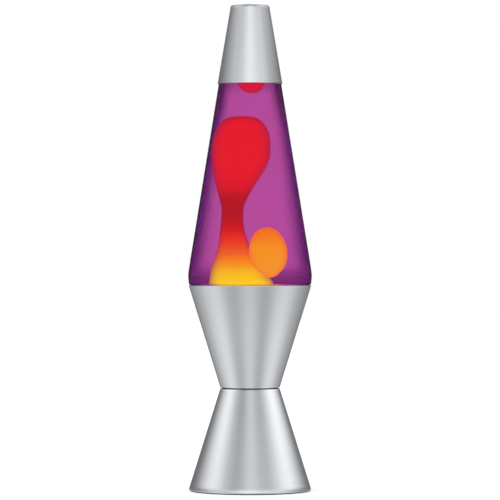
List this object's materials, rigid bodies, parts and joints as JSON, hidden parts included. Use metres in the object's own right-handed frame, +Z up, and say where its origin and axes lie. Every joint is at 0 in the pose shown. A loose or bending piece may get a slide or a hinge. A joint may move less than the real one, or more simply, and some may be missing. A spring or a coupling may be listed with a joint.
{
  "type": "lava lamp",
  "caption": "Tapered glass globe of violet fluid and glowing wax on an hourglass base of two brushed cones, with a loose tapered cap and a small screw-in bulb inside.",
  "frame": {"origin": "centre of the footprint, on the surface the lamp stands on", "axes": "+Z up along the lamp's axis; -Y is the front; the cord outlet is at the back, towards +Y"},
  "size_m": [0.094, 0.094, 0.3683],
  "materials": {
    "spun_aluminium": "fine spun brushing, satin",
    "dark_steel": "dark dip",
    "plated_steel": "zinc plate",
    "brass": "rolled, bright",
    "crown_tinplate": "tin plate",
    "liner_plastic": "matt",
    "porcelain": "glazed",
    "black_plastic": "fine grain",
    "black_rubber": "matt",
    "bulb_glass": "clear",
    "black_vitrite": "glossy",
    "solder": "dull",
    "tungsten": "dull",
    "globe_glass": "clear, polished",
    "violet_fluid": "clear tinted fluid",
    "orange_wax": "smooth, softly glowing",
    "red_wax": "smooth, softly glowing"
  },
  "bodies": {
    "base": {"foot_cone": "spun_aluminium", "holder_cone": "spun_aluminium", "waist_ring": "dark_steel", "socket_cradle": "plated_steel", "cradle_screw_left": "plated_steel", "cradle_nut_left": "plated_steel", "cradle_screw_right": "plated_steel", "cradle_nut_right": "plated_steel", "socket_body": "porcelain", "socket_thread_shell": "brass", "socket_centre_contact": "brass", "terminal_screw_live": "brass", "terminal_screw_neutral": "plated_steel", "socket_nipple": "plated_steel", "nipple_nut": "plated_steel", "base_plate": "black_plastic", "plate_lug_1": "plated_steel", "plate_screw_1": "plated_steel", "foot_pad_1": "black_rubber", "plate_lug_2": "plated_steel", "plate_screw_2": "plated_steel", "foot_pad_2": "black_rubber", "plate_lug_3": "plated_steel", "plate_screw_3": "plated_steel", "foot_pad_3": "black_rubber", "cord_grommet": "black_plastic"},
    "globe": {"glass_globe": "globe_glass", "crown_closure": "crown_tinplate", "crown_liner": "liner_plastic", "fluid": "violet_fluid", "wax_column": "red_wax", "wax_top_lump": "red_wax", "wax_coil": "plated_steel"},
    "cap": {"top_cap": "spun_aluminium"},
    "bulb_tip": {"bulb_tip_contact": "solder"},
    "bulb": {"bulb_glass": "bulb_glass", "bulb_screw_shell": "brass", "bulb_insulator": "black_vitrite", "bulb_stem": "bulb_glass", "bulb_lead_left": "plated_steel", "bulb_lead_right": "plated_steel", "bulb_filament": "tungsten"},
    "wax_ball": {"wax_ball": "orange_wax"}
  },
  "joints": [
    {"name": "globe_lift", "type": "slide", "parent": "base", "child": "globe", "axis": [0, 0, 1], "range_m": [0, 0.05]},
    {"name": "cap_lift", "type": "slide", "parent": "globe", "child": "cap", "axis": [0, 0, 1], "range_m": [0, 0.06]},
    {"name": "bulb_rise", "type": "slide", "parent": "base", "child": "bulb_tip", "axis": [0, 0, 1], "range_m": [0, 0.00847]},
    {"name": "bulb_turn", "type": "hinge", "parent": "bulb_tip", "child": "bulb", "pos_m": [0, 0, 0.07], "axis": [0, 0, 1], "range_deg": [0, 1080]},
    {"name": "wax_ball_rise", "type": "slide", "parent": "globe", "child": "wax_ball", "axis": [0, 0, 1], "range_m": [0, 0.038], "deforming": ["fluid"]}
  ],
  "couplings": [
    {"joint": "bulb_turn", "follows": "bulb_rise", "rad_per_m": 2226.3}
  ]
}
